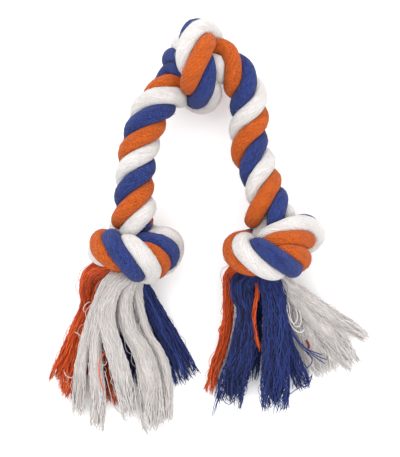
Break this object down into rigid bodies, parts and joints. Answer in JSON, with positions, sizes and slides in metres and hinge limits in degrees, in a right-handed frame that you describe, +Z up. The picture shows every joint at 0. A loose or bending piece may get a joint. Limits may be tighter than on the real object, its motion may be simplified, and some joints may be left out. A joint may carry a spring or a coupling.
{
  "type": "rope dog toy",
  "caption": "Dog tug toy of thick laid cotton rope bent in an arch, with an overhand knot at the crown and at each end, and frayed tassels.",
  "frame": {"origin": "centre of the bounding box in X and Y, at its lowest point, where the toy rests", "axes": "toy lying flat: +Y from the tassels to the crown knot, +X to the right knot's side seen from above, +Z up"},
  "size_m": [0.2304, 0.292, 0.0752],
  "materials": {
    "orange_cotton": "matte dyed cotton yarn",
    "white_cotton": "matte undyed cotton yarn",
    "blue_cotton": "matte dyed cotton yarn"
  },
  "bodies": {
    "root": {"orange_strand": "orange_cotton", "white_strand": "white_cotton", "blue_strand": "blue_cotton", "left_orange_lock_1": "orange_cotton", "left_orange_lock_2": "orange_cotton", "left_orange_lock_3": "orange_cotton", "left_white_lock_1": "white_cotton", "left_white_lock_2": "white_cotton", "left_white_lock_3": "white_cotton", "left_white_lock_4": "white_cotton", "left_white_lock_5": "white_cotton", "left_blue_lock_1": "blue_cotton", "left_blue_lock_2": "blue_cotton", "left_blue_lock_3": "blue_cotton", "right_orange_lock_1": "orange_cotton", "right_orange_lock_2": "orange_cotton", "right_white_lock_1": "white_cotton", "right_white_lock_2": "white_cotton", "right_white_lock_3": "white_cotton", "right_white_lock_4": "white_cotton", "right_blue_lock_1": "blue_cotton", "right_blue_lock_2": "blue_cotton", "right_blue_lock_3": "blue_cotton", "right_blue_lock_4": "blue_cotton"}
  },
  "joints": []
}
